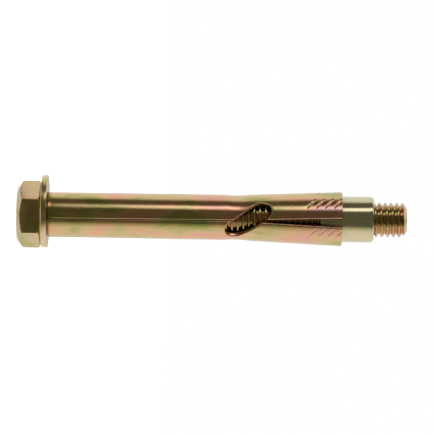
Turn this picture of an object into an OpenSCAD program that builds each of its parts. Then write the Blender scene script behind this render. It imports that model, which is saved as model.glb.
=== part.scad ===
// Sleeve anchor for masonry, 8 mm hole, with an M6 hexagon bolt.
// The anchor stands on the head of its bolt. The origin is the centre of the head's outer
// face, and Z runs along the bolt to its tip. Millimetres.
// A rolled sheet sleeve slips over the bolt. A cone nut on the bolt's end spreads the three
// fingers of the sleeve when the bolt is turned.

/* [Bolt] */
// Diameter of the bolt over its thread
bolt_d = 6; // [5.6:0.1:6.4]
// Length of the bolt under its head
bolt_len = 63.5; // [62:0.1:75]
// Chamfer at the bolt's tip
tip_chamfer = 0.9; // [0.3:0.05:1.2]
// Width of the hexagon head across its flats
head_af = 10.2; // [9.6:0.1:12]
// Height of the hexagon
head_h = 3.95; // [3.2:0.05:6]
// Diameter of the flat left by the chamfer on the head's outer end
head_flat_d = 8.6; // [7:0.1:9.4]
// Angle of that chamfer to the flat
head_chamfer_angle = 32; // [20:1:45]
// Break of the hexagon's corners on the side of the washer
head_corner_break = 0.3; // [0.1:0.05:0.5]
// Diameter of the raised seat under the head
seat_d = 9.2; // [8.2:0.1:9.4]
// Height of the raised seat
seat_h = 0.2; // [0.1:0.05:0.6]
// Turn of the head about its axis
head_turn = 4; // [0:1:59]

/* [Washer] */
// Outer diameter of the washer
washer_d = 12.7; // [11:0.1:16]
// Thickness of the washer
washer_t = 1.05; // [0.8:0.05:1.6]
// Clearance of the washer's hole round the bolt, when centred
washer_clear = 0.6; // [0.2:0.05:0.8]
// Gap left on the side where the loose washer hangs against the bolt
washer_side_gap = 0.05; // [0.02:0.01:0.15]
// Radius of the washer's stamped outer edges
washer_round = 0.3; // [0.1:0.05:0.4]

/* [Sleeve] */
// Length of the sleeve
sleeve_len = 51.2; // [48:0.1:53]
// Thickness of the sheet that the sleeve is rolled from
sleeve_wall = 0.7; // [0.5:0.05:0.9]
// Clearance between the bolt and the sleeve's bore
sleeve_clear = 0.23; // [0.08:0.01:0.4]
// Break of the sleeve's outer edges at its two ends
sleeve_edge = 0.15; // [0.05:0.05:0.3]
// Open gap of the rolled joint along the sleeve, and of each slit at its root
seam_gap = 0.1; // [0.06:0.02:0.4]
// Angle of the rolled joint below the side that faces front
seam_angle = 8.5; // [0:0.1:30]

/* [Neck and fingers] */
// Distance from the sleeve's head end to the middle of the neck
neck_pos = 32.7; // [31:0.1:34]
// Length of the straight part of the neck
neck_len = 1; // [0.4:0.1:2]
// Length of the run from the tube down to the neck
neck_run_in = 1.3; // [0.6:0.1:2.5]
// Length of the run from the neck up to the fingers
neck_run_out = 2; // [1:0.1:3]
// Clearance between the bolt and the bore of the neck
neck_clear = 0.14; // [0.03:0.01:0.2]
// Rise of the bore from the tube to the root of the fingers
finger_rise = 0.07; // [0.04:0.01:0.2]
// Number of fingers, with a slit between each two
finger_count = 3; // [2:1:4]
// Width of a slit at the sleeve's end
slit_w = 1.65; // [0.8:0.05:2]
// Distance from the middle of the neck to the roots of the slits
slit_from_neck = 0.2; // [0.1:0.05:0.4]

/* [Window] */
// Width of the slanted window
window_w = 3.2; // [2:0.1:3.6]
// Distance between the centres of the window's round ends, along the sheet
window_run = 6; // [4:0.1:7]
// Slant of the window to the sleeve's axis
window_slant = 36.5; // [20:0.5:50]
// Distance from the sleeve's head end to the middle of the window
window_pos = 34.9; // [34:0.1:38]

/* [Grip marks] */
// Length of the band of grip marks at the sleeve's end
grip_len = 5.8; // [3:0.1:8]
// Distance between two grip marks along the axis
grip_pitch = 1.55; // [1:0.05:2.5]
// Depth of a grip mark
grip_depth = 0.14; // [0.05:0.01:0.2]
// Length of the tool edge that presses a grip mark
grip_stroke = 3; // [2:0.1:4]
// Slant of the grip marks to the axis
grip_slant = 52; // [30:1:70]
// Angle from a slit to the nearest group of grip marks
grip_from_slit = 38; // [25:1:50]

/* [Cone nut] */
// Thickness of the nut's wall at its cylinder
nut_wall = 0.92; // [0.7:0.01:1.1]
// Length of the cone, which is the part that starts inside the sleeve
nut_cone_len = 3.8; // [2:0.1:6]
// Thickness of the nut's wall at the small end of the cone
nut_small_wall = 0.35; // [0.26:0.01:0.6]
// Length of the nut's cylindrical part
nut_len = 5.55; // [4:0.05:7]
// Radius of the nut's outer edge
nut_round = 0.65; // [0.2:0.05:0.7]
// Clearance of the nut's bore round the bolt
nut_clear = 0.05; // [0.03:0.01:0.1]
// Chamfer at both ends of the nut's bore
nut_bore_chamfer = 0.15; // [0.05:0.05:0.25]
// Clearance between the fingers' ends and the nut
finger_clear = 0.04; // [0.02:0.01:0.1]

/* [Hidden] */
$fn = 96;

// Overshoot of a cutting shape past the face that it opens
over = 0.5;
// Distance from the axis at which the cuts through the sleeve's wall start
cut_from = bolt_d / 4;
// Steps of a rounded edge
round_steps = 4;
// Angle of the side that faces front, which is -Y
front = 270;
zinc_yellow = "#B9A468";
zinc_olive = "#9C8B52";
zinc_green = "#A9A277";

// Heights of the stack from the head's outer face upwards
seat_z = head_h + seat_h;
sleeve_z = seat_z + washer_t;
sleeve_end_z = sleeve_z + sleeve_len;
tip_z = seat_z + bolt_len;

bolt_r = bolt_d / 2;
corner_r = head_af / 2 / cos(30);
nut_bore_r = bolt_r + nut_clear;
nut_r = nut_bore_r + nut_wall;
washer_hole_r = bolt_r + washer_clear;
washer_shift = washer_clear - washer_side_gap;

// Bore radii of the sleeve
tube_r = bolt_r + sleeve_clear;
neck_r = bolt_r + neck_clear;
finger_end_r = nut_r + finger_clear;
finger_root = neck_pos + neck_len / 2 + neck_run_out;
finger_root_r = tube_r + finger_rise;
finger_slope = (finger_end_r - finger_root_r) / (sleeve_len - finger_root);
slit_root = neck_pos + slit_from_neck;

// The rolled joint, the window and one slit lie on one line along the sleeve
seam = front + seam_angle;
window_r = window_w / 2;
// Number of steps in which the punch is wrapped round the tube
window_steps = 8;

// Points of a quarter circle about a centre, from one angle to the next
function arc_points(centre, r, from, to, steps) =
    [for (i = [0:steps]) centre + r * [cos(from + (to - from) * i / steps), sin(from + (to - from) * i / steps)]];

// Points that round the corner b between the points a and c
function corner_points(a, b, c, steps) =
    [for (i = [0:steps]) let (t = i / steps) (1 - t) * (1 - t) * a + 2 * t * (1 - t) * b + t * t * c];

function midpoint(a, b) = (a + b) / 2;

// Corners of the sleeve's bore as [radius, distance from the head end]
bore_corners = [
    [tube_r, neck_pos - neck_len / 2 - neck_run_in],
    [neck_r, neck_pos - neck_len / 2],
    [neck_r, neck_pos + neck_len / 2],
    [finger_root_r, finger_root],
];

// The bore with each corner rounded as far as the middle of the runs beside it
bore_line = concat(
    [[tube_r, 0]],
    corner_points(bore_corners[0] - [0, neck_run_in / 2], bore_corners[0],
        midpoint(bore_corners[0], bore_corners[1]), round_steps),
    corner_points(midpoint(bore_corners[0], bore_corners[1]), bore_corners[1],
        midpoint(bore_corners[1], bore_corners[2]), round_steps),
    corner_points(midpoint(bore_corners[1], bore_corners[2]), bore_corners[2],
        midpoint(bore_corners[2], bore_corners[3]), round_steps),
    corner_points(midpoint(bore_corners[2], bore_corners[3]), bore_corners[3],
        bore_corners[3] + neck_run_out / 2 * [finger_slope, 1], round_steps),
    [[finger_end_r, sleeve_len]]
);

// The outer skin follows the bore at the thickness of the sheet, with its end edges broken
skin_line = concat(
    [[tube_r + sleeve_wall - sleeve_edge, 0], [tube_r + sleeve_wall, sleeve_edge]],
    [for (i = [1:len(bore_line) - 2]) bore_line[i] + [sleeve_wall, 0]],
    [
        [finger_end_r + sleeve_wall - sleeve_edge * finger_slope, sleeve_len - sleeve_edge],
        [finger_end_r + sleeve_wall - sleeve_edge, sleeve_len],
    ]
);

// Bolt with its hexagon head, raised seat and plain shank
module hex_bolt() {
    color(zinc_olive) union() {
        hexagon_head();
        translate([0, 0, head_h])
            cylinder(h = seat_h, d = seat_d);
        rotate_extrude()
            polygon([
                [0, head_h],
                [bolt_r, head_h],
                [bolt_r, tip_z - tip_chamfer],
                [bolt_r - tip_chamfer, tip_z],
                [0, tip_z],
            ]);
    }
}

// Hexagon whose outer corners are turned to a chamfer and whose inner corners are broken
module hexagon_head() {
    chamfer_rise = (corner_r + over - head_flat_d / 2) * tan(head_chamfer_angle);
    intersection() {
        rotate(head_turn)
            cylinder(h = head_h, r = corner_r, $fn = 6);
        rotate_extrude()
            polygon([
                [0, 0],
                [head_flat_d / 2, 0],
                [corner_r + over, chamfer_rise],
                [corner_r + over, head_h - head_corner_break - over],
                [corner_r - head_corner_break, head_h],
                [0, head_h],
            ]);
    }
}

// Loose washer, which hangs to one side of the bolt
module flat_washer() {
    color(zinc_yellow)
        translate([-washer_shift, 0, seat_z])
            rotate_extrude()
                polygon(concat(
                    [[washer_hole_r, 0]],
                    arc_points([washer_d / 2 - washer_round, washer_round], washer_round, -90, 0, round_steps),
                    arc_points([washer_d / 2 - washer_round, washer_t - washer_round], washer_round, 0, 90,
                        round_steps),
                    [[washer_hole_r, washer_t]]
                ));
}

// Sleeve rolled from one sheet, necked and spread into fingers
module expansion_sleeve() {
    color(zinc_yellow)
        translate([0, 0, sleeve_z])
            difference() {
                rotate_extrude()
                    polygon(concat(bore_line, [for (i = [len(skin_line) - 1:-1:0]) skin_line[i]]));
                joint_and_slits();
                slanted_window();
                grip_marks();
            }
}

// Open joint of the rolled sheet, which runs on as the front slit, and the other slits
module joint_and_slits() {
    growth = (slit_w - seam_gap) / (sleeve_len - slit_root);
    end_w = slit_w + growth * over;
    for (i = [0:finger_count - 1])
        rotate(seam + i * 360 / finger_count)
            rotate([90, 0, 90])
                translate([0, 0, cut_from])
                    linear_extrude(finger_end_r + sleeve_wall)
                        polygon(concat(
                            i == 0 ? [[-seam_gap / 2, -over], [seam_gap / 2, -over]] : [],
                            [
                                [seam_gap / 2, slit_root],
                                [end_w / 2, sleeve_len + over],
                                [-end_w / 2, sleeve_len + over],
                                [-seam_gap / 2, slit_root],
                            ]
                        ));
}

// Window with round ends, punched at a slant to the axis and wrapped round the tube
module slanted_window() {
    rise = window_run * cos(window_slant);
    wrap = window_run * sin(window_slant) / (tube_r + sleeve_wall) * 180 / PI;
    for (i = [0:window_steps]) {
        t = i / window_steps - 0.5;
        translate([0, 0, window_pos + t * rise])
            rotate([0, 90, seam - t * wrap])
                translate([0, 0, cut_from])
                    cylinder(h = finger_end_r + sleeve_wall, r = window_r);
    }
}

// Slanted marks pressed across each finger near the sleeve's end
module grip_marks() {
    step = 360 / finger_count;
    rows = floor(grip_len / grip_pitch);
    for (i = [0:finger_count - 1])
        for (side = [grip_from_slit, step - grip_from_slit])
            for (row = [0:rows - 1]) {
                place = sleeve_len - grip_pitch * (row + 0.5);
                skin_r = finger_end_r + sleeve_wall - (sleeve_len - place) * finger_slope;
                rotate(seam + i * step + side)
                    translate([skin_r, 0, place])
                        rotate([0, atan(finger_slope), 0])
                            rotate([grip_slant, 0, 0])
                                rotate([0, 0, 45])
                                    cube([grip_depth * sqrt(2), grip_depth * sqrt(2), grip_stroke], center = true);
            }
}

// Cone nut, with its cone inside the fingers and its cylinder past them
module cone_nut() {
    small_z = sleeve_end_z - nut_cone_len;
    end_z = sleeve_end_z + nut_len;
    color(zinc_green)
        rotate_extrude()
            polygon(concat(
                [
                    [nut_bore_r, small_z + nut_bore_chamfer],
                    [nut_bore_r + nut_bore_chamfer, small_z],
                    [nut_bore_r + nut_small_wall, small_z],
                    [nut_r, sleeve_end_z],
                ],
                arc_points([nut_r - nut_round, end_z - nut_round], nut_round, 0, 90, round_steps),
                [
                    [nut_bore_r + nut_bore_chamfer, end_z],
                    [nut_bore_r, end_z - nut_bore_chamfer],
                ]
            ));
}

hex_bolt();
flat_washer();
expansion_sleeve();
cone_nut();
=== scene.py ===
# %% [markdown]
# # A sleeve anchor in yellow passivated zinc
# A sleeve anchor fastens things to masonry. A bolt runs through a washer and a sleeve that is
# rolled from sheet, and pulls a cone nut into the sleeve's split end, which spreads in the hole.
# This lesson dresses the anchor's four pieces: the shapes are made first, then the plating, and
# then the studio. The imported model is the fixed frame, and every piece goes where it says.

# %% The frame and its boxes
import math

import bmesh
import bpy
import numpy as np
from mathutils import Matrix, Vector


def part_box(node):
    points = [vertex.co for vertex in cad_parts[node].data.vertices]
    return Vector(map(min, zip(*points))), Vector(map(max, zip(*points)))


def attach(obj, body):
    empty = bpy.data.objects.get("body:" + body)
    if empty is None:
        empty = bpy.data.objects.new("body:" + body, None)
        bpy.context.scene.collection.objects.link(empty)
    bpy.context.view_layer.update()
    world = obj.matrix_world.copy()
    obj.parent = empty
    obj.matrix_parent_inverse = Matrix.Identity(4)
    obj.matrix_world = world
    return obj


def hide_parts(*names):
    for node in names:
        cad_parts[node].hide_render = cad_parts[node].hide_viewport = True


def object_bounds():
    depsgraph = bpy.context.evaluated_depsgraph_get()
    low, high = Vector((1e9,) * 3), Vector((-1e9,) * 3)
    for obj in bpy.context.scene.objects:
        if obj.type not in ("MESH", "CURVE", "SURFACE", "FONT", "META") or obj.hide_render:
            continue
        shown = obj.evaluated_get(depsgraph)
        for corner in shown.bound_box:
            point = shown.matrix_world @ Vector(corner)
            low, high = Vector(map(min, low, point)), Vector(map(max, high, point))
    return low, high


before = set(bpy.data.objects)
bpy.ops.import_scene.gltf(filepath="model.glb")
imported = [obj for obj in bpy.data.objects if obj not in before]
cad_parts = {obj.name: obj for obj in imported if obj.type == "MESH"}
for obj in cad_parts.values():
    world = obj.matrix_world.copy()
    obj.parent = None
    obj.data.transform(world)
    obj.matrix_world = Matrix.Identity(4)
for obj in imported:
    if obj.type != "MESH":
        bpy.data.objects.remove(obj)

MM = 0.001
cad_low, cad_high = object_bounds()
bolt_low, bolt_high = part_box("hex_bolt")
washer_low, washer_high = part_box("flat_washer")
sleeve_low, sleeve_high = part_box("expansion_sleeve")
nut_low, nut_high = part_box("cone_nut")
print("heights in mm:", [round(p.z / MM, 2) for p in (washer_low, sleeve_low, sleeve_high, bolt_high)])

# %% [markdown]
# ## Tools for the shapes
# A few small helpers serve all the pieces. They make an object from points and faces, mend and
# shade its mesh, and bake modifiers and node trees into it, so that each piece ends as a plain
# mesh. Two more add a node to a tree, of any kind or for a sum, with its links.

# %% Make, bake and shade a mesh
def piece_from(name, points, faces):
    mesh = bpy.data.meshes.new(name)
    mesh.from_pydata([tuple(p) for p in points], [], [tuple(int(i) for i in f) for f in faces])
    made = bpy.data.objects.new(name, mesh)
    bpy.context.scene.collection.objects.link(made)
    return made


def close_and_turn_out(obj, gap=1e-7):
    """Merges points that coincide, drops faces with no area and points every face outwards."""
    work = bmesh.new()
    work.from_mesh(obj.data)
    bmesh.ops.remove_doubles(work, verts=work.verts, dist=gap)
    bmesh.ops.dissolve_degenerate(work, edges=work.edges, dist=gap)
    bmesh.ops.recalc_face_normals(work, faces=work.faces)
    work.to_mesh(obj.data)
    work.free()


def bake(obj):
    """Turns an object with its modifiers into a plain mesh."""
    shapes = bpy.context.evaluated_depsgraph_get()
    plain = bpy.data.meshes.new_from_object(obj.evaluated_get(shapes))
    obj.modifiers.clear()
    obj.data = plain
    return obj


def shade(obj, sharp_from):
    """Shades faces smooth, with edges sharp where they turn by more than an angle in degrees."""
    obj.data.shade_smooth()
    obj.data.set_sharp_from_angle(angle=math.radians(sharp_from))


# %% Add a node to any tree
def add(tree, kind, inputs=None, **settings):
    """Adds one node. Inputs, by name or number, are values, sockets, or nodes for their first output."""
    made = tree.nodes.new(kind)
    for name, value in settings.items():
        setattr(made, name, value)
    for key, value in (inputs or {}).items():
        if isinstance(value, bpy.types.Node):
            value = value.outputs[0]
        if isinstance(value, bpy.types.NodeSocket):
            tree.links.new(value, made.inputs[key])
        else:
            made.inputs[key].default_value = value
    return made


def calculate(tree, operation, *values):
    """A math node on up to three values or sockets, as its output socket."""
    return add(tree, "ShaderNodeMath", dict(enumerate(values)), operation=operation).outputs["Value"]


def ramp_node(tree, place, stops):
    """A colour ramp over a place from 0 to 1, from its stops as (place, colour)."""
    made = add(tree, "ShaderNodeValToRGB", {"Fac": place})
    elements = made.color_ramp.elements
    while len(elements) < len(stops):
        elements.new(0.5)
    for i, (at, colour) in enumerate(stops):
        elements[i].position = at
        elements[i].color = colour
    return made.outputs["Color"]


# %% Run a geometry tree on an object
def named_inputs(tree, sizes):
    """Adds float inputs to a tree, with their defaults, and returns its group input node."""
    for name, value in sizes.items():
        socket = tree.interface.new_socket(name, in_out="INPUT", socket_type="NodeSocketFloat")
        socket.default_value = value
    return tree.nodes.new("NodeGroupInput")


def run_tree(obj, tree, sizes):
    """Puts a tree on an object, sets its inputs by their identifiers and bakes the result."""
    modifier = obj.modifiers.new(tree.name, "NODES")
    modifier.node_group = tree
    for item in tree.interface.items_tree:
        if item.item_type == "SOCKET" and item.in_out == "INPUT" and item.name in sizes:
            modifier[item.identifier] = float(sizes[item.name])
    return bake(obj)


# %% [markdown]
# ## Colours of yellow passivation
# Zinc plate that is dipped in a yellow chromate bath turns gold, with thin-film tints of olive,
# green, pink and mauve. It is still a metal, so its colour is its reflection. The colours are
# written as sRGB hex values, and one function turns them into the linear values that Blender uses.

# %% Colours
def linear(hex_colour):
    def channel(pair):
        c = int(pair, 16) / 255
        return c / 12.92 if c <= 0.04045 else ((c + 0.055) / 1.055) ** 2.4
    return [channel(hex_colour[i:i + 2]) for i in (1, 3, 5)] + [1.0]


KHAKI = "#C7B381"
DULL_KHAKI = "#C4B184"
LIGHT_KHAKI = "#D2BE90"
GOLD = "#D5B285"
DULL_GOLD = "#CFAF88"
LIGHT_GOLD = "#DCC09A"
STRAW = "#D4C39C"
OLIVE = "#B1A765"
GREEN = "#9EAE70"
SALMON = "#DDA58A"
MAUVE = "#CFA6A0"
COPPER = "#CB9872"
PALE_GREEN = "#B9BD96"
PALE_GREY = "#C9C1A2"


# %% [markdown]
# ## The plating
# All four pieces share one finish, and differ in tint and in the marks that their making left.
# The base colour wanders between a few tints in patches that are drawn out along the axis, as the
# bath drained, and drifts slowly from the head to the tip. Fine tool lines go into the bump:
# along the drawn sheet and round the turned nut. The metal keeps its default IOR.

# %% A material for plated steel
TOOL_LINE_LENGTH = 16


def plated_steel(name, tints, patch_mm, stretch, drift, lines, roughness, haze, seed):
    """A yellow zinc finish, from its tints as (place, colour) and the size of its patches.

    drift is the change of place per mm of height above the middle of the anchor.
    lines is the width of the tool lines in mm, their depth in mm, and "along" or "round".
    haze is the share of light that the film scatters before it reaches the metal.
    """
    line_mm, line_depth, direction = lines
    material = bpy.data.materials.new(name)
    material.use_nodes = True
    tree = material.node_tree
    tree.nodes.clear()
    place = add(tree, "ShaderNodeTexCoord").outputs["Object"]
    in_mm = add(tree, "ShaderNodeMapping", {"Vector": place, "Scale": (1 / MM, 1 / MM, 1 / MM)})
    drawn_out = add(tree, "ShaderNodeMapping", {"Vector": in_mm, "Location": (seed, seed, seed),
                                                "Scale": (1, 1, 1 / stretch)})
    patches = add(tree, "ShaderNodeTexNoise", {"Vector": drawn_out, "Scale": 1 / patch_mm, "Detail": 3.0,
                                               "Roughness": 0.5, "Distortion": 0.3})
    height = add(tree, "ShaderNodeSeparateXYZ", {0: in_mm}).outputs["Z"]
    middle = (cad_low.z + cad_high.z) / 2 / MM
    from_middle = calculate(tree, "SUBTRACT", height, middle)
    drifted = calculate(tree, "MULTIPLY_ADD", from_middle, drift, patches)
    tint = ramp_node(tree, drifted, [(at, linear(colour)) for at, colour in tints])
    squeeze = 1 / TOOL_LINE_LENGTH
    squeezed = (1, 1, squeeze) if direction == "along" else (squeeze, squeeze, 1)
    lines_place = add(tree, "ShaderNodeMapping", {"Vector": in_mm, "Scale": squeezed})
    tool_lines = add(tree, "ShaderNodeTexNoise", {"Vector": lines_place, "Scale": 1 / line_mm,
                                                  "Detail": 2.0})
    grain = add(tree, "ShaderNodeTexNoise", {"Vector": in_mm, "Scale": 1.5, "Detail": 3.0})
    rough = add(tree, "ShaderNodeMapRange", {"Value": grain, "From Min": 0.3, "From Max": 0.7,
                                             "To Min": roughness[0], "To Max": roughness[1]})
    bump = add(tree, "ShaderNodeBump", {"Height": tool_lines, "Strength": 1.0, "Distance": line_depth * MM})
    shader = add(tree, "ShaderNodeBsdfPrincipled", {"Base Color": tint, "Roughness": rough.outputs["Result"],
                                                    "Normal": bump, "Metallic": 1 - haze})
    add(tree, "ShaderNodeOutputMaterial", {"Surface": shader})
    return material


sleeve_plate = plated_steel(
    "yellow_zinc_on_rolled_sheet",
    [(0.25, GREEN), (0.35, OLIVE), (0.43, KHAKI), (0.51, GOLD), (0.61, SALMON), (0.74, MAUVE)],
    patch_mm=3.0, stretch=2.6, drift=0.0018, lines=(0.3, 0.004, "along"),
    roughness=(0.12, 0.20), haze=0.01, seed=45.0)
bolt_plate = plated_steel(
    "yellow_zinc_on_cold_headed_steel",
    [(0.32, OLIVE), (0.44, DULL_KHAKI), (0.54, DULL_GOLD), (0.66, COPPER)],
    patch_mm=3.5, stretch=1.5, drift=0.001, lines=(0.5, 0.004, "round"),
    roughness=(0.15, 0.24), haze=0.01, seed=57.0)
washer_plate = plated_steel(
    "yellow_zinc_on_stamped_steel",
    [(0.34, OLIVE), (0.46, LIGHT_KHAKI), (0.56, LIGHT_GOLD), (0.68, SALMON)],
    patch_mm=2.5, stretch=1.0, drift=0.0, lines=(0.3, 0.006, "round"),
    roughness=(0.16, 0.26), haze=0.03, seed=58.0)
nut_plate = plated_steel(
    "yellow_zinc_on_turned_steel",
    [(0.34, PALE_GREEN), (0.50, PALE_GREY), (0.64, STRAW)],
    patch_mm=4.0, stretch=0.8, drift=0.0, lines=(0.25, 0.002, "round"),
    roughness=(0.08, 0.13), haze=0.04, seed=55.0)


# %% [markdown]
# ## Turned shapes
# The washer and the nut are round, so each is a closed outline turned about the axis. Real edges
# are never sharp: each corner of the outline is rounded by its own radius before it is turned,
# which catches the thin light line that an edge shows.

# %% Round an outline's corners and turn it
def rounded(corners, steps=5):
    """Corners are (radius, height, rounding) in mm. Returns the outline's points in metres."""
    out = []
    for i, (r, z, rounding) in enumerate(corners):
        corner = Vector((r, z))
        if rounding == 0:
            out.append(corner * MM)
            continue
        before = (Vector(corners[i - 1][:2]) - corner).normalized()
        after = (Vector(corners[(i + 1) % len(corners)][:2]) - corner).normalized()
        half = before.angle(after) / 2
        run = rounding / math.tan(half)
        start, end = corner + before * run, corner + after * run
        for k in range(steps + 1):
            t = k / steps
            out.append(((1 - t) ** 2 * start + 2 * t * (1 - t) * corner + t ** 2 * end) * MM)
    return out


def turned(name, outline, segments, centre=(0, 0)):
    """Turns a closed outline of (radius, height) points about an upright axis."""
    around = [2 * math.pi * j / segments for j in range(segments)]
    points = [(centre[0] + p[0] * math.cos(a), centre[1] + p[0] * math.sin(a), p[1])
              for p in outline for a in around]
    rows = len(outline)
    faces = [(i * segments + j, i * segments + (j + 1) % segments,
              (i + 1) % rows * segments + (j + 1) % segments, (i + 1) % rows * segments + j)
             for i in range(rows) for j in range(segments)]
    made = piece_from(name, points, faces)
    close_and_turn_out(made)
    return made


# %% [markdown]
# ## The washer
# A stamped washer has one edge that rolls over where the punch went in and one that broke away
# sharper. It sits loose on the bolt, pulled to one side, which the frame's box gives.

# %% The washer
washer_centre = (washer_low + washer_high) / 2
washer_radius = (washer_high.x - washer_low.x) / 2 / MM
WASHER_HOLE_RADIUS = 3.6
WASHER_ROLLED_EDGE = 0.34
WASHER_SHARP_EDGE = 0.14
SEGMENTS = 160
washer_bottom = washer_low.z / MM
washer_top = washer_high.z / MM
washer = turned("washer", rounded([
    (WASHER_HOLE_RADIUS, washer_bottom, 0.12),
    (washer_radius, washer_bottom, WASHER_ROLLED_EDGE),
    (washer_radius, washer_top, WASHER_SHARP_EDGE),
    (WASHER_HOLE_RADIUS, washer_top, 0.16),
]), SEGMENTS, (washer_centre.x, washer_centre.y))
washer.data.materials.append(washer_plate)
shade(washer, 40)
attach(washer, "washer")
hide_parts("flat_washer")
print("washer:", len(washer.data.polygons), "faces")

# %% [markdown]
# ## The cone nut
# The nut is turned from bar: a smooth cylinder with a full rounded outer edge, a cone that starts
# inside the sleeve, and a countersunk bore. Faint turning rings round it come from the material.

# %% The cone nut
nut_radius = (nut_high.x - nut_low.x) / 2 / MM
nut_bottom = nut_low.z / MM
nut_top = nut_high.z / MM
NUT_BORE_RADIUS = 3.05
NUT_COUNTERSINK = 0.15
NUT_SMALL_WALL = 0.35
NUT_END_DROP = 0.03
NUT_END_ROUND = 0.76
nut_cone_top = sleeve_high.z / MM
nut = turned("cone_nut_body", rounded([
    (NUT_BORE_RADIUS, nut_bottom + NUT_COUNTERSINK, 0),
    (NUT_BORE_RADIUS + NUT_COUNTERSINK, nut_bottom, 0.03),
    (NUT_BORE_RADIUS + NUT_SMALL_WALL, nut_bottom, 0.08),
    (nut_radius, nut_cone_top, 0.6),
    (nut_radius, nut_top - NUT_END_DROP, NUT_END_ROUND),
    (NUT_BORE_RADIUS + NUT_COUNTERSINK, nut_top, 0.05),
    (NUT_BORE_RADIUS, nut_top - NUT_COUNTERSINK, 0),
]), SEGMENTS)
nut.data.materials.append(nut_plate)
shade(nut, 40)
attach(nut, "nut")
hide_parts("cone_nut")
print("cone nut:", len(nut.data.polygons), "faces")

# %% [markdown]
# ## The bolt's head
# The hexagon's outer corners are turned away by a shallow cone, which leaves the curved edges that
# every bolt head shows. The head is built ring by ring: at each angle the hexagon's edge is at its
# own distance, and the cone's height there follows from it, so the curves are exact. Close rings
# on both sides of each edge keep the faces flat, and a bevel softens the edges as cold heading does.

# %% The bolt's head
HEAD_FLATS = 10.2
HEAD_HEIGHT = 3.95
HEAD_FLAT_END = 8.8
HEAD_CHAMFER = math.radians(32)
CORNER_BREAK = 0.3
SEAT_RADIUS = 4.6
HEAD_TURN = 4.0
BOLT_RADIUS = 3.0
STEPS_PER_SIDE = 20
HEAD_EDGE_ROUND = 0.08
HEAD_EDGE_BAND = 0.12
INSIDE_THREAD = 0.3


def head_profile(turn):
    """The head's upright cut at an angle in degrees, as (radius, height) in mm, from the outer face on."""
    corner = HEAD_FLATS / 2 / math.cos(math.radians(30))
    edge = HEAD_FLATS / 2 / math.cos(math.radians(turn % 60 - 30))
    rise = math.tan(HEAD_CHAMFER)
    chamfer_top = (edge - HEAD_FLAT_END / 2) * rise
    inner = min(edge, corner - CORNER_BREAK)
    side_end = HEAD_HEIGHT - (edge - inner)
    return [
        (HEAD_FLAT_END / 2 - HEAD_EDGE_BAND, 0),
        (HEAD_FLAT_END / 2, 0),
        (HEAD_FLAT_END / 2 + HEAD_EDGE_BAND, HEAD_EDGE_BAND * rise),
        (edge - HEAD_EDGE_BAND, chamfer_top - HEAD_EDGE_BAND * rise),
        (edge, chamfer_top),
        (edge, chamfer_top + HEAD_EDGE_BAND),
        (edge, side_end - HEAD_EDGE_BAND),
        (edge, side_end),
        (inner, HEAD_HEIGHT),
        (SEAT_RADIUS, HEAD_HEIGHT),
        (SEAT_RADIUS, washer_bottom),
        (BOLT_RADIUS - INSIDE_THREAD, washer_bottom),
    ]


count = 6 * STEPS_PER_SIDE
head_turns = [60 * j / STEPS_PER_SIDE for j in range(count)]
head_profiles = [head_profile(turn) for turn in head_turns]
ring_count = len(head_profiles[0])
head_points = []
for i in range(ring_count):
    for turn, profile in zip(head_turns, head_profiles):
        r, z = profile[i]
        a = math.radians(turn + HEAD_TURN)
        head_points.append((r * MM * math.cos(a), r * MM * math.sin(a), z * MM))
outer_middle = len(head_points)
inner_middle = outer_middle + 1
head_points += [(0, 0, 0), (0, 0, washer_bottom * MM)]
head_faces = [(i * count + j, i * count + (j + 1) % count,
               (i + 1) * count + (j + 1) % count, (i + 1) * count + j)
              for i in range(ring_count - 1) for j in range(count)]
last = (ring_count - 1) * count
head_faces += [(outer_middle, (j + 1) % count, j) for j in range(count)]
head_faces += [(inner_middle, last + j, last + (j + 1) % count) for j in range(count)]
bolt = piece_from("bolt", head_points, head_faces)
close_and_turn_out(bolt, 1e-6)
soft_edges = bolt.modifiers.new("soft edges", "BEVEL")
soft_edges.width = HEAD_EDGE_ROUND * MM
soft_edges.segments = 3
soft_edges.limit_method = "ANGLE"
soft_edges.angle_limit = math.radians(24)
bake(bolt)

# %% [markdown]
# ## The bolt's thread
# The M6 thread is a ridge that climbs 1 mm with each turn. A Geometry Nodes tree makes it: a flat
# grid is wrapped round the axis, and each point's distance from the axis follows from how far it
# is between two crests. The tree's inputs are the thread's own sizes, so another bolt needs only
# other numbers.

# %% The thread's tree
# Shares of the way from a groove's middle to the next crest, between which the flank climbs.
GROOVE_ENDS = 0.10
CREST_STARTS = 0.82


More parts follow.
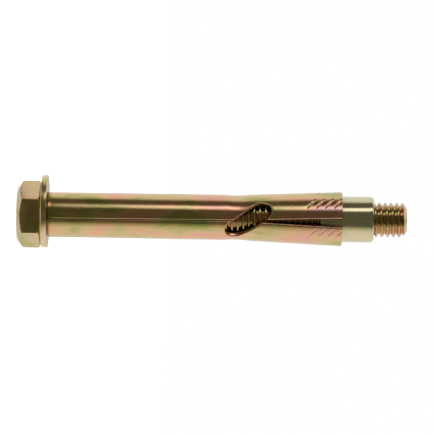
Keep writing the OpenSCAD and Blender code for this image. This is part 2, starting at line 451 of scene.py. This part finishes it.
def thread_tree():
    tree = bpy.data.node_groups.new("thread", "GeometryNodeTree")
    tree.interface.new_socket("Geometry", in_out="INPUT", socket_type="NodeSocketGeometry")
    given = named_inputs(tree, {
        "Foot": 0.0044, "Length": 0.064, "Radius": 0.003, "Pitch": 0.001, "Depth": 0.0006,
        "Tip chamfer": 0.001, "Tip slope": 1.2, "Start": 0.0, "Rows per pitch": 12.0, "Columns": 72.0,
    })
    tree.interface.new_socket("Geometry", in_out="OUTPUT", socket_type="NodeSocketGeometry")
    row = calculate(tree, "DIVIDE", given.outputs["Pitch"], given.outputs["Rows per pitch"])
    rows = calculate(tree, "DIVIDE", given.outputs["Length"], row)
    row_points = calculate(tree, "ADD", rows, 3.0)
    grid_length = calculate(tree, "MULTIPLY_ADD", row, 2.0, given.outputs["Length"])
    grid = add(tree, "GeometryNodeMeshGrid", {"Size X": grid_length, "Size Y": 1.0, "Vertices X": row_points,
                                              "Vertices Y": given.outputs["Columns"]})
    at = add(tree, "ShaderNodeSeparateXYZ", {0: add(tree, "GeometryNodeInputPosition")})
    half = calculate(tree, "MULTIPLY", given.outputs["Length"], 0.5)
    along = calculate(tree, "ADD", at.outputs["X"], half)
    not_below = calculate(tree, "MAXIMUM", along, 0.0)
    height = calculate(tree, "MINIMUM", not_below, given.outputs["Length"])
    turns = at.outputs["Y"]
    climbed = calculate(tree, "DIVIDE", height, given.outputs["Pitch"])
    unwound = calculate(tree, "SUBTRACT", climbed, turns)
    shifted = calculate(tree, "SUBTRACT", unwound, given.outputs["Start"])
    between = calculate(tree, "FRACT", shifted)
    centred = calculate(tree, "MULTIPLY_ADD", between, 2.0, -1.0)
    from_root = calculate(tree, "ABSOLUTE", centred)
    sunk = add(tree, "ShaderNodeMapRange", {
        "Value": from_root, "From Min": CREST_STARTS, "From Max": GROOVE_ENDS,
        "To Min": 0.0, "To Max": given.outputs["Depth"],
    })
    ridge = calculate(tree, "SUBTRACT", given.outputs["Radius"], sunk)
    to_tip = calculate(tree, "SUBTRACT", given.outputs["Length"], height)
    tip_radius = calculate(tree, "SUBTRACT", given.outputs["Radius"], given.outputs["Tip chamfer"])
    cone = calculate(tree, "MULTIPLY_ADD", to_tip, given.outputs["Tip slope"], tip_radius)
    trimmed = calculate(tree, "MINIMUM", ridge, cone)
    past = calculate(tree, "SUBTRACT", along, height)
    past_by = calculate(tree, "ABSOLUTE", past)
    half_row = calculate(tree, "MULTIPLY", row, 0.5)
    inside = calculate(tree, "LESS_THAN", past_by, half_row)
    radius = calculate(tree, "MULTIPLY", trimmed, inside)
    angle = calculate(tree, "MULTIPLY", turns, 2 * math.pi)
    cosine = calculate(tree, "COSINE", angle)
    sine = calculate(tree, "SINE", angle)
    x = calculate(tree, "MULTIPLY", radius, cosine)
    y = calculate(tree, "MULTIPLY", radius, sine)
    z = calculate(tree, "ADD", height, given.outputs["Foot"])
    placed = add(tree, "ShaderNodeCombineXYZ", {"X": x, "Y": y, "Z": z})
    wrapped = add(tree, "GeometryNodeSetPosition", {"Geometry": grid.outputs["Mesh"], "Position": placed})
    joined = add(tree, "GeometryNodeMergeByDistance", {"Geometry": wrapped, "Distance": 1e-6})
    plain = add(tree, "GeometryNodeRealizeInstances", {"Geometry": joined})
    plated = add(tree, "GeometryNodeSetMaterial", {"Geometry": plain, "Material": bolt_plate})
    add(tree, "NodeGroupOutput", {"Geometry": plated})
    return tree


# %% The thread, and the whole bolt
THREAD_PITCH = 1.0
THREAD_DEPTH = 0.57
TIP_CHAMFER = 0.95
TIP_SLOPE = 1.6
CREST_AT_X_AXIS = 64.44
THREAD_INTO_HEAD = 0.2
thread_foot = washer_bottom - THREAD_INTO_HEAD
thread_length = bolt_high.z / MM - thread_foot
thread = piece_from("thread", [(0, 0, 0)], [])
run_tree(thread, thread_tree(), {
    "Foot": thread_foot * MM, "Length": thread_length * MM, "Radius": BOLT_RADIUS * MM,
    "Pitch": THREAD_PITCH * MM, "Depth": THREAD_DEPTH * MM,
    "Tip chamfer": TIP_CHAMFER * MM, "Tip slope": TIP_SLOPE,
    "Start": (CREST_AT_X_AXIS - thread_foot) / THREAD_PITCH % 1, "Rows per pitch": 12, "Columns": 72,
})
close_and_turn_out(thread)
print("thread:", len(thread.data.polygons), "faces")


def join(first, second):
    """Adds the second mesh to the first and removes the second object."""
    work = bmesh.new()
    work.from_mesh(first.data)
    work.from_mesh(second.data)
    work.to_mesh(first.data)
    work.free()
    bpy.data.objects.remove(second)


join(bolt, thread)
bolt.data.materials.clear()
bolt.data.materials.append(bolt_plate)
shade(bolt, 28)
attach(bolt, "bolt")
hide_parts("hex_bolt")

# %% [markdown]
# ## The sleeve's flat blank
# The real sleeve is punched from flat sheet and then rolled, so this one is made the same way. The
# blank is drawn in the flat: across is the distance round the tube, measured from the joint, and
# up is the distance from the sleeve's head end. Half of the slanted window is cut from each long
# edge, and the slits between the fingers run in from the far end.

# %% Sizes of the blank
SLEEVE_RADIUS = 3.93
SLEEVE_WALL = 0.7
SEAM_GAP = 0.1
SEAM_ANGLE = 270 + 8.5
JOINT_TWIST = math.radians(0.08)
NECK_POS = 32.7
NECK_FROM = NECK_POS - 2.3
NECK_TO = NECK_POS - 0.6
NECK_DIP = 0.09
SPREAD_FROM = NECK_POS + 0.3
FINGER_ROOT = 35.2
SPREAD_TO = FINGER_ROOT + 0.3
FINGER_ROOT_RADIUS = 4.0
FINGER_END_RADIUS = 4.71
END_GAP = 0.1
SLIT_ROOT = 32.9
SLIT_WIDTH = 1.65
FINGERS = 3
WINDOW_RADIUS = 1.6
WINDOW_RUN = 6.0
WINDOW_SLANT = math.radians(36.5)
WINDOW_POS = 34.9
WINDOW_MEETS_SLIT = 38
sleeve_length = (sleeve_high.z - sleeve_low.z) / MM
finger_slope = (FINGER_END_RADIUS - FINGER_ROOT_RADIUS) / (sleeve_length - FINGER_ROOT)
blank_width = 2 * math.pi * SLEEVE_RADIUS


def smooth_step(x, low, high):
    t = np.clip((x - low) / (high - low), 0, 1)
    return t * t * (3 - 2 * t)


def skin_radius(s):
    """The sleeve's outer radius at a distance from its head end, in mm."""
    necked = SLEEVE_RADIUS - NECK_DIP * smooth_step(s, NECK_FROM, NECK_TO)
    spread = FINGER_ROOT_RADIUS + (s - FINGER_ROOT) * finger_slope
    blend = smooth_step(s, SPREAD_FROM, SPREAD_TO)
    return necked * (1 - blend) + spread * blend


def slit_half(s):
    """Half the width of a slit in the flat blank, which gives its real width once spread."""
    open_by = (s - SLIT_ROOT) / (sleeve_length - SLIT_ROOT) * (SLIT_WIDTH - SEAM_GAP) / 2
    return (SEAM_GAP / 2 + max(open_by, 0)) * SLEEVE_RADIUS / float(skin_radius(s))


# %% The window's two halves
WINDOW_AXIS = Vector((-math.sin(WINDOW_SLANT), math.cos(WINDOW_SLANT)))
WINDOW_SIDE = Vector((math.cos(WINDOW_SLANT), math.sin(WINDOW_SLANT)))


def window_point(edge_x, t, side):
    """A point on one of the window's long edges, at t mm along its axis from its middle."""
    return Vector((edge_x, WINDOW_POS)) + t * WINDOW_AXIS + side * WINDOW_RADIUS * WINDOW_SIDE


def window_cap(edge_x, end, steps=20):
    """The round end of the window, from its lower long edge to its upper one."""
    middle = Vector((edge_x, WINDOW_POS)) + end * WINDOW_RUN / 2 * WINDOW_AXIS
    sweep = [math.pi * k / steps for k in range(steps + 1)]
    return [middle + WINDOW_RADIUS * (-math.cos(a) * WINDOW_SIDE + end * math.sin(a) * WINDOW_AXIS)
            for a in sweep]


def edge_crossing(side, x_from_edge):
    """How far along the window's axis its long edge crosses a line parallel to the joint."""
    return (side * WINDOW_RADIUS * WINDOW_SIDE.x - x_from_edge) / math.sin(WINDOW_SLANT)


# %% The blank's outline
def slit_edge(middle, sign, low, high, steps=18):
    """One edge of a slit from its low end to its high end, in the flat."""
    return [Vector((middle + sign * slit_half(s), s)) for s in np.linspace(low, high, steps)]


def blank_outline():
    half_gap = SEAM_GAP / 2
    upper_right = window_point(0, edge_crossing(1, -slit_half(WINDOW_MEETS_SLIT)), 1)
    upper_left = window_point(0, edge_crossing(1, slit_half(WINDOW_MEETS_SLIT)), 1)
    points = [Vector((half_gap, END_GAP)), Vector((blank_width - half_gap, END_GAP))]
    points.append(window_point(blank_width, edge_crossing(-1, -half_gap), -1))
    points += window_cap(blank_width, 1)
    points += slit_edge(blank_width, -1, upper_right.y, sleeve_length)
    for k in range(FINGERS - 1, 0, -1):
        middle = blank_width * k / FINGERS
        points += slit_edge(middle, 1, SLIT_ROOT, sleeve_length)[::-1]
        points += slit_edge(middle, -1, SLIT_ROOT, sleeve_length)
    points += slit_edge(0, 1, upper_left.y, sleeve_length)[::-1]
    points += window_cap(0, -1)[::-1]
    points.append(window_point(0, edge_crossing(-1, half_gap), -1))
    return points


outline = blank_outline()
print("blank outline:", len(outline), "points")

# %% [markdown]
# The outline becomes one flat face. A punch leaves the sheet's edge rounded on one side, so a few
# rings are laid along the edge first, for that rounding. Then the face is cut along a grid so
# that it can bend. The cuts are close together only where the form needs it: at the neck, and in
# the band at the end where slanted grip marks are pressed into the skin. Each point keeps how far
# it lies below the full sheet, which the rolling then takes off its radius.

# %% Lay rings along the edge and cut the blank along a grid
EDGE_ROUND = 0.2
EDGE_STEPS = 4
GRIP_BAND = 6.2
NECK_BAND = (30, 37.5)
TUBE_ROW = 1.5
NECK_ROW = 0.25
FINGER_ROW = 0.6
GRIP_ROW = 0.09
COLUMNS = 96
FINE_PER_COLUMN = 3


def cut_lines(work, across, places, above=None):
    """Cuts the flat mesh along lines at the given places, or only its part above a height."""
    direction = (1, 0, 0) if across else (0, 1, 0)
    for place in places:
        faces = [f for f in work.faces if above is None or f.calc_center_median().y > above]
        near = {e for f in faces for e in f.edges}
        corners = {v for f in faces for v in f.verts}
        bmesh.ops.bisect_plane(work, geom=[*corners, *near, *faces], dist=1e-5,
                               plane_co=(place, 0, 0) if across else (0, place, 0), plane_no=direction)


def make_blank():
    """The flat blank as its points and faces, for one side of the sheet."""
    work = bmesh.new()
    sheet = work.faces.new([work.verts.new((p.x, p.y, 0)) for p in outline])
    rings = [EDGE_ROUND * (1 - math.cos(math.pi / 2 * k / EDGE_STEPS)) for k in range(EDGE_STEPS + 1)]
    for outer, inner in zip(rings, rings[1:]):
        bmesh.ops.inset_region(work, faces=[sheet], thickness=inner - outer, use_boundary=True,
                               use_even_offset=True)
    band = sleeve_length - GRIP_BAND
    cut_lines(work, False, [
        *np.arange(TUBE_ROW, NECK_BAND[0], TUBE_ROW), *np.arange(*NECK_BAND, NECK_ROW),
        *np.arange(NECK_BAND[1], band, FINGER_ROW), *np.arange(band, sleeve_length - EDGE_ROUND, GRIP_ROW),
    ])
    cut_lines(work, True, np.linspace(0, blank_width, COLUMNS + 1)[1:-1])
    fine = np.linspace(0, blank_width, COLUMNS * FINE_PER_COLUMN + 1)
    cut_lines(work, True, [x for i, x in enumerate(fine) if i % FINE_PER_COLUMN], above=band)
    work.verts.index_update()
    points = np.array([v.co[:2] for v in work.verts])
    faces = [[v.index for v in f.verts] for f in work.faces]
    work.free()
    return points, faces


blank_points, blank_faces = make_blank()
print("blank:", len(blank_faces), "faces")

# %% How far each point of the skin lies below the full sheet
GRIP_PITCH = 1.55
GRIP_ROWS = 4
GRIP_DEPTH = 0.12
GRIP_HALF_WIDTH = 0.19
GRIP_REACH = 1.5
GRIP_SLANT = math.radians(52)
GRIP_SIDES = (28, 75)


def grip_strokes():
    """Middle points of the slanted strokes, as (across, up) in the blank."""
    step = 360 / FINGERS
    return [(math.radians(k * step + side) * SLEEVE_RADIUS, sleeve_length - GRIP_PITCH * (row + 0.5))
            for k in range(FINGERS) for side in GRIP_SIDES for row in range(GRIP_ROWS)]


def grip_depth(points):
    """How deep the grip marks press each point in, in mm."""
    depth = np.zeros(len(points))
    stretch = FINGER_END_RADIUS / SLEEVE_RADIUS
    for across, up in grip_strokes():
        x = (points[:, 0] - across) * stretch
        y = points[:, 1] - up
        along = -x * math.sin(GRIP_SLANT) + y * math.cos(GRIP_SLANT)
        aside = x * math.cos(GRIP_SLANT) + y * math.sin(GRIP_SLANT)
        fade = np.clip(1 - (along / GRIP_REACH) ** 2, 0, 1)
        groove = np.clip(1 - np.abs(aside) / GRIP_HALF_WIDTH, 0, 1)
        depth = np.maximum(depth, GRIP_DEPTH * fade * smooth_step(groove, 0, 1))
    return depth


def edge_fall(points):
    """How far the rounding of the punched edge takes each point down, in mm."""
    corners = np.array(outline)
    nearest = np.full(len(points), np.inf)
    for start, end in zip(corners, np.roll(corners, -1, axis=0)):
        side = end - start
        share = np.clip((points - start) @ side / (side @ side), 0, 1)
        nearest = np.minimum(nearest, np.linalg.norm(points - start - share[:, None] * side, axis=1))
    inside = np.clip(EDGE_ROUND - nearest, 0, EDGE_ROUND)
    return EDGE_ROUND - np.sqrt(EDGE_ROUND ** 2 - inside ** 2)


# %% The sheet with its two sides and its rim
def sheet_with_wall(name, points, faces, depths, wall):
    """A sheet of two sides and a rim. Each point's depth below the skin is kept as an attribute."""
    count = len(points)
    sides = {(f[i - 1], f[i]) for f in faces for i in range(len(f))}
    rim = [(b, a, a + count, b + count) for a, b in sides if (b, a) not in sides]
    inner = [[i + count for i in reversed(f)] for f in faces]
    made = piece_from(name, [(x, y, 0) for x, y in points] * 2, faces + inner + sorted(rim))
    pressed = made.data.attributes.new("pressed", "FLOAT", "POINT")
    pressed.data.foreach_set("value", np.concatenate([depths, np.full(count, wall)]).astype(np.float32))
    return made


depths = np.maximum(grip_depth(blank_points), edge_fall(blank_points))
sleeve = sheet_with_wall("sleeve", blank_points, blank_faces, depths * MM, SLEEVE_WALL * MM)

# %% [markdown]
# ## Rolling the blank
# A second Geometry Nodes tree rolls the blank into the tube. It turns the distance across into an
# angle and works out the radius from the height: the tube, the slight neck and the spreading
# fingers. Each is a smooth step, so the sheet bends and doesn't crease. The joint twists a little
# towards the head, as a rolled tube's does.

# %% The rolling tree
def rolling_tree():
    tree = bpy.data.node_groups.new("roll the sleeve", "GeometryNodeTree")
    tree.interface.new_socket("Geometry", in_out="INPUT", socket_type="NodeSocketGeometry")
    given = named_inputs(tree, {
        "Foot": 0.0052, "Tube radius": 3.93, "Joint angle": 0.0, "Neck from": 30.8, "Neck to": 32.5,
        "Neck dip": 0.09, "Spread from": 33.4, "Spread to": 35.9, "Root": 35.6, "Root radius": 4.0,
        "Slope": 0.045, "Twist": 0.0,
    })
    tree.interface.new_socket("Geometry", in_out="OUTPUT", socket_type="NodeSocketGeometry")
    at = add(tree, "ShaderNodeSeparateXYZ", {0: add(tree, "GeometryNodeInputPosition")})
    up = at.outputs["Y"]
    turn = calculate(tree, "DIVIDE", at.outputs["X"], given.outputs["Tube radius"])
    straight = calculate(tree, "ADD", turn, given.outputs["Joint angle"])
    before_neck = calculate(tree, "SUBTRACT", given.outputs["Neck from"], up)
    in_tube = calculate(tree, "MAXIMUM", before_neck, 0.0)
    angle = calculate(tree, "MULTIPLY_ADD", in_tube, given.outputs["Twist"], straight)
    dip = add(tree, "ShaderNodeMapRange", {
        "Value": up, "From Min": given.outputs["Neck from"], "From Max": given.outputs["Neck to"],
        "To Min": 0.0, "To Max": given.outputs["Neck dip"],
    }, interpolation_type="SMOOTHSTEP")
    necked = calculate(tree, "SUBTRACT", given.outputs["Tube radius"], dip)
    past_root = calculate(tree, "SUBTRACT", up, given.outputs["Root"])
    spread = calculate(tree, "MULTIPLY_ADD", past_root, given.outputs["Slope"], given.outputs["Root radius"])
    share = add(tree, "ShaderNodeMapRange", {
        "Value": up, "From Min": given.outputs["Spread from"], "From Max": given.outputs["Spread to"],
    }, interpolation_type="SMOOTHSTEP")
    skin = add(tree, "ShaderNodeMix", {"Factor": share, "A": necked, "B": spread})
    in_metres = calculate(tree, "MULTIPLY", skin, MM)
    depth = add(tree, "GeometryNodeInputNamedAttribute", {"Name": "pressed"}, data_type="FLOAT")
    radius = calculate(tree, "SUBTRACT", in_metres, depth.outputs["Attribute"])
    cosine = calculate(tree, "COSINE", angle)
    sine = calculate(tree, "SINE", angle)
    x = calculate(tree, "MULTIPLY", radius, cosine)
    y = calculate(tree, "MULTIPLY", radius, sine)
    z = calculate(tree, "MULTIPLY_ADD", up, MM, given.outputs["Foot"])
    placed = add(tree, "ShaderNodeCombineXYZ", {"X": x, "Y": y, "Z": z})
    rolled = add(tree, "GeometryNodeSetPosition", {"Geometry": given.outputs["Geometry"],
                                                   "Position": placed})
    plain = add(tree, "GeometryNodeRealizeInstances", {"Geometry": rolled})
    plated = add(tree, "GeometryNodeSetMaterial", {"Geometry": plain, "Material": sleeve_plate})
    add(tree, "NodeGroupOutput", {"Geometry": plated})
    return tree


run_tree(sleeve, rolling_tree(), {
    "Foot": sleeve_low.z, "Tube radius": SLEEVE_RADIUS, "Joint angle": math.radians(SEAM_ANGLE),
    "Neck from": NECK_FROM, "Neck to": NECK_TO, "Neck dip": NECK_DIP,
    "Spread from": SPREAD_FROM, "Spread to": SPREAD_TO, "Root": FINGER_ROOT,
    "Root radius": FINGER_ROOT_RADIUS, "Slope": finger_slope, "Twist": JOINT_TWIST,
})

# %% Shade the sleeve and attach it to its body
close_and_turn_out(sleeve, 2e-6)
shade(sleeve, 40)
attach(sleeve, "sleeve")
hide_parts("expansion_sleeve")
print("sleeve:", len(sleeve.data.polygons), "faces")

# %% [markdown]
# ## The studio
# Bare metal shows the room round it, so the room is half of its look. Here the room is a white
# tent that is open towards the camera, and leans open a little over the tip: the metal then has
# broad light bands with a dark band between them. A narrow light beside the camera adds one thin
# bright line. The pattern follows the direction round the object, and the world and the floor
# both use it for reflections, while the camera sees both as white.

# %% The light round the object
def warm(level):
    """The room outside the tent is dim and brown."""
    return (1.15 * level, 1.0 * level, 0.55 * level, 1)


def lime(level):
    """Light through the lower edge of the tent is slightly green."""
    return (0.98 * level, level, 0.68 * level, 1)


def white(level):
    return (level, level, level, 1)


ROOM = [(-180, white(0.6)), (-150, white(0.95)), (-100, white(1.0)), (-64, white(0.9)), (-50, lime(0.64)),
        (-41, lime(0.36)), (-36, warm(0.17)), (-30, warm(0.085)), (82, warm(0.085)), (89, warm(0.22)),
        (96, white(0.7)), (104, white(1.0)), (150, white(1.0)), (180, white(0.6))]
STRIP = [(37, 0), (45, 1), (53, 1), (61, 0)]
STRIP_LEVEL = 1.6
OPEN_OVER_TIP = 0.4


def compass_ramp(tree, compass, stops):
    """A colour ramp over the compass direction, with its stops in degrees."""
    return ramp_node(tree, compass, [((degrees + 180) / 360, colour) for degrees, colour in stops])


def room_light(tree, direction, strip_level):
    """The room's light from a direction, as a colour socket. 0 degrees is the front, at -Y."""
    parts = add(tree, "ShaderNodeSeparateXYZ", {0: direction})
    left = calculate(tree, "MULTIPLY", parts.outputs["X"], -1.0)
    over_tip = calculate(tree, "MULTIPLY", parts.outputs["Z"], OPEN_OVER_TIP)
    near = calculate(tree, "SUBTRACT", over_tip, parts.outputs["Y"])
    angle = calculate(tree, "ARCTAN2", left, near)
    compass = add(tree, "ShaderNodeMapRange", {"Value": angle, "From Min": -math.pi, "From Max": math.pi})
    room = compass_ramp(tree, compass, ROOM)
    strip = compass_ramp(tree, compass, [(degrees, white(level)) for degrees, level in STRIP])
    bright_strip = add(tree, "ShaderNodeVectorMath", {0: strip, "Scale": strip_level}, operation="SCALE")
    return add(tree, "ShaderNodeVectorMath", {0: room, 1: bright_strip}, operation="ADD").outputs[0]


world = bpy.data.worlds.new("studio")
bpy.context.scene.world = world
world.use_nodes = True
world.node_tree.nodes.clear()
sky = world.node_tree
ray = add(sky, "ShaderNodeLightPath")
heading = add(sky, "ShaderNodeTexCoord").outputs["Generated"]
room_glow = add(sky, "ShaderNodeBackground", {"Color": room_light(sky, heading, STRIP_LEVEL)})
plain_glow = add(sky, "ShaderNodeBackground", {"Color": (1, 1, 1, 1), "Strength": 0.75})
white_back = add(sky, "ShaderNodeBackground", {"Color": (1, 1, 1, 1), "Strength": 1.0})
mirrored = add(sky, "ShaderNodeMixShader", {0: ray.outputs["Is Glossy Ray"], 1: plain_glow, 2: room_glow})
seen = add(sky, "ShaderNodeMixShader", {0: ray.outputs["Is Camera Ray"], 1: mirrored, 2: white_back})
add(sky, "ShaderNodeOutputWorld", {"Surface": seen})

# %% [markdown]
# The floor is matt white to the camera. In reflections it is plain white close by, and further
# out it carries the room's pattern on, with a strip that is dimmer near the object.

# %% The floor
FLOOR_REACH = 1.5
WHITE_WITHIN = 0.0075
ROOM_BEYOND = 0.011
STRIP_DIM_LEVEL = 0.3
STRIP_DIM_AT = 0.1
STRIP_FULL_AT = 1.2
floor = piece_from("floor", [(-FLOOR_REACH, -FLOOR_REACH, 0), (FLOOR_REACH, -FLOOR_REACH, 0),
                             (FLOOR_REACH, FLOOR_REACH, 0), (-FLOOR_REACH, FLOOR_REACH, 0)], [(0, 1, 2, 3)])
floor_paint = bpy.data.materials.new("matt_white_floor")
floor_paint.use_nodes = True
paint = floor_paint.node_tree
paint.nodes.clear()
ray = add(paint, "ShaderNodeLightPath")
spot = add(paint, "ShaderNodeTexCoord").outputs["Object"]
matt = add(paint, "ShaderNodeBsdfDiffuse", {"Color": (0.85, 0.85, 0.85, 1)})
lift = add(paint, "ShaderNodeEmission", {"Color": (1, 1, 1, 1), "Strength": 0.42})
lifted = add(paint, "ShaderNodeAddShader", {0: matt, 1: lift})
distance = add(paint, "ShaderNodeVectorMath", {0: spot}, operation="LENGTH").outputs["Value"]
strip_level = add(paint, "ShaderNodeMapRange", {
    "Value": distance, "From Min": STRIP_DIM_AT, "From Max": STRIP_FULL_AT,
    "To Min": STRIP_DIM_LEVEL, "To Max": STRIP_LEVEL,
}).outputs["Result"]
far = add(paint, "ShaderNodeMapRange", {
    "Value": distance, "From Min": WHITE_WITHIN, "From Max": ROOM_BEYOND,
}).outputs["Result"]
# A colour mix has its two colours at inputs 6 and 7, and its result at output 2.
near_and_far = add(paint, "ShaderNodeMix", {
    "Factor": far, 6: white(0.9), 7: room_light(paint, spot, strip_level),
}, data_type="RGBA")
mirrored = add(paint, "ShaderNodeEmission", {"Color": near_and_far.outputs[2], "Strength": 1.0})
seen = add(paint, "ShaderNodeMixShader", {0: ray.outputs["Is Camera Ray"], 1: matt, 2: lifted})
all_rays = add(paint, "ShaderNodeMixShader", {0: ray.outputs["Is Glossy Ray"], 1: seen, 2: mirrored})
add(paint, "ShaderNodeOutputMaterial", {"Surface": all_rays})
floor.data.materials.append(floor_paint)

# %% The lamps
LAMPS_AIM_AT = Vector((0, 0, 0.03))


def softbox(name, place, size, power):
    lamp = bpy.data.lights.new(name, "AREA")
    lamp.shape = "SQUARE"
    lamp.size = size
    lamp.energy = power
    made = bpy.data.objects.new(name, lamp)
    bpy.context.scene.collection.objects.link(made)
    aim = LAMPS_AIM_AT - Vector(place)
    made.matrix_world = Matrix.Translation(place) @ aim.to_track_quat("-Z", "Y").to_matrix().to_4x4()
    made.visible_camera = False
    made.visible_glossy = False


softbox("key softbox", (-0.5, -0.2, 0.6), 0.5, 3.0)
softbox("fill softbox", (0.55, -0.25, 0.45), 0.5, 2.0)

# %% [markdown]
# ## The camera
# The photograph looks straight at the anchor's side, with the head at the left. Here the anchor
# stands on its head, so the camera lies on its side: the anchor's upward direction runs to the
# right of the picture and a little down. A long lens from half a metre keeps the perspective
# slight.

# %% The camera
IMAGE_WIDTH_PX = 434
PX_PER_MM = 5.74
CAMERA_DISTANCE = 0.485
SENSOR_WIDTH = 36.0
TILT = math.radians(0.95)
HEAD_PX = (18.0, 213.9)
picture_right = Vector((-math.sin(TILT), 0, math.cos(TILT)))
picture_up = Vector((-math.cos(TILT), 0, -math.sin(TILT)))
towards_camera = Vector((0, -1, 0))
head_right = (HEAD_PX[0] - IMAGE_WIDTH_PX / 2) / PX_PER_MM * MM
head_up = (IMAGE_WIDTH_PX / 2 - HEAD_PX[1]) / PX_PER_MM * MM
camera_place = towards_camera * CAMERA_DISTANCE - picture_right * head_right - picture_up * head_up
camera_data = bpy.data.cameras.new("camera")
camera_data.sensor_width = SENSOR_WIDTH
camera_data.lens = SENSOR_WIDTH * CAMERA_DISTANCE / (IMAGE_WIDTH_PX / PX_PER_MM * MM)
camera = bpy.data.objects.new("camera", camera_data)
bpy.context.scene.collection.objects.link(camera)
turn = Matrix((picture_right, picture_up, towards_camera)).transposed()
camera.matrix_world = Matrix.Translation(camera_place) @ turn.to_4x4()
bpy.context.scene.camera = camera
bpy.context.scene.view_settings.view_transform = "Standard"
print("lens:", round(camera_data.lens, 1), "mm")
